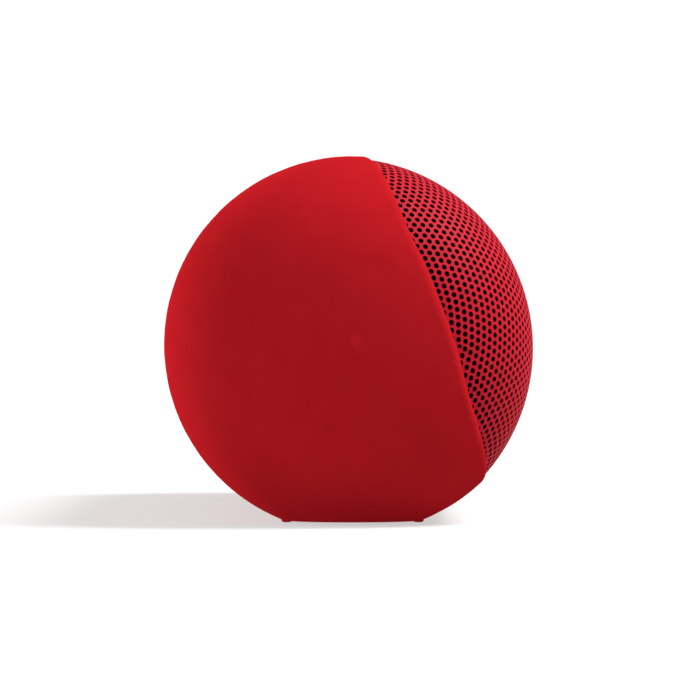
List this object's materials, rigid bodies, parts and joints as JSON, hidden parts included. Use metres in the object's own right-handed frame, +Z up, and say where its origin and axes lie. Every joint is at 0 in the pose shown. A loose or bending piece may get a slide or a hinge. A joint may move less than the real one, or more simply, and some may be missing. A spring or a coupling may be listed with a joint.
{
  "type": "portable party speaker",
  "caption": "Pill-shaped portable speaker: soft red housing round the back and ends, perforated metal grille leaning back at the front, flat ribbed base.",
  "frame": {"origin": "middle of the footprint, on the floor under the foot ribs", "axes": "+X along the housing towards the lanyard end, -Y out of the front of the grille, +Z up"},
  "size_m": [0.219, 0.0712, 0.0709],
  "materials": {
    "red_silicone": "matte silicone",
    "red_metal": "satin paint on perforated steel",
    "red_button": "matte silicone",
    "black_plastic": "matte",
    "black_cloth": "fine woven",
    "black_rubber": "matte",
    "steel": "satin",
    "black_metal": "satin",
    "grey_cone": "pressed pulp",
    "copper": "enamelled wire",
    "spider_cloth": "resin-treated cloth",
    "magnet": "nickel plated",
    "dome_cloth": "coated silk",
    "cell_metal": "satin",
    "blue_wrap": "shrink wrap",
    "circuit_board": "solder mask",
    "chip": "moulded epoxy",
    "ferrite": "matte",
    "capacitor_metal": "satin",
    "white_plastic": "matte",
    "clear_plastic": "frosted",
    "lead_red": "insulation",
    "lead_black": "insulation",
    "ribbon": "polyimide film"
  },
  "bodies": {
    "housing": {"silicone_skin": "red_silicone", "grille": "red_metal", "grille_frame": "black_plastic", "acoustic_cloth": "black_cloth", "chassis_tub": "black_plastic", "front_baffle": "black_plastic", "baffle_gasket": "black_rubber", "baffle_screws": "steel", "button_board": "circuit_board", "button_board_screws": "steel", "dome_switches": "steel", "status_led": "white_plastic", "light_pipe": "clear_plastic", "microphone": "steel", "woofer_gasket": "black_rubber", "woofer_frame": "black_metal", "woofer_surround": "black_rubber", "woofer_spider": "spider_cloth", "woofer_top_plate": "steel", "woofer_magnet": "magnet", "woofer_yoke": "steel", "driver_screws": "steel", "tweeter_frame": "black_plastic", "tweeter_surround": "black_rubber", "tweeter_top_plate": "steel", "tweeter_magnet": "magnet", "tweeter_cup": "steel", "radiator_frame": "black_plastic", "radiator_surround": "black_rubber", "battery_cells": "cell_metal", "battery_sleeve": "blue_wrap", "battery_cradle": "black_plastic", "battery_board": "circuit_board", "fixing_screws": "steel", "main_board": "circuit_board", "radio_shield": "steel", "amplifier_chip": "chip", "inductors": "ferrite", "capacitors": "capacitor_metal", "usb_receptacle": "steel", "usb_tongue": "black_plastic", "usb_bezel": "black_plastic", "board_sockets": "white_plastic", "woofer_lead": "lead_red", "tweeter_lead": "lead_red", "battery_lead": "lead_black", "button_ribbon": "ribbon", "lanyard_cup": "black_plastic", "lanyard_bar": "steel"},
    "power_key": {"button_power": "red_button"},
    "minus_key": {"button_minus": "red_button"},
    "play_key": {"button_play": "red_button"},
    "plus_key": {"button_plus": "red_button"},
    "woofer_motion": {"woofer_cone": "grey_cone", "woofer_dust_cap": "grey_cone", "woofer_voice_coil": "copper"},
    "radiator_motion": {"radiator_plate": "grey_cone", "radiator_mass": "steel"},
    "tweeter_motion": {"tweeter_dome": "dome_cloth", "tweeter_voice_coil": "copper"}
  },
  "joints": [
    {"name": "power_press", "type": "slide", "parent": "housing", "child": "power_key", "axis": [0, -0.342, -0.9397], "range_m": [0, 0.0004], "stiffness_N_per_m": 3000},
    {"name": "minus_press", "type": "slide", "parent": "housing", "child": "minus_key", "axis": [0, -0.342, -0.9397], "range_m": [0, 0.0004], "stiffness_N_per_m": 3000},
    {"name": "play_press", "type": "slide", "parent": "housing", "child": "play_key", "axis": [0, -0.342, -0.9397], "range_m": [0, 0.0004], "stiffness_N_per_m": 3000},
    {"name": "plus_press", "type": "slide", "parent": "housing", "child": "plus_key", "axis": [0, -0.342, -0.9397], "range_m": [0, 0.0004], "stiffness_N_per_m": 3000},
    {"name": "woofer_stroke", "type": "slide", "parent": "housing", "child": "woofer_motion", "axis": [0, -0.9397, 0.342], "range_m": [-0.003, 0.003], "stiffness_N_per_m": 1200, "deforming": ["woofer_surround", "woofer_spider"]},
    {"name": "radiator_stroke", "type": "slide", "parent": "housing", "child": "radiator_motion", "axis": [0, -0.9397, 0.342], "range_m": [-0.003, 0.003], "stiffness_N_per_m": 600, "deforming": ["radiator_surround"]},
    {"name": "tweeter_stroke", "type": "slide", "parent": "housing", "child": "tweeter_motion", "axis": [0, -0.9397, 0.342], "range_m": [-0.0002, 0.0002], "stiffness_N_per_m": 900, "deforming": ["tweeter_surround"]}
  ]
}
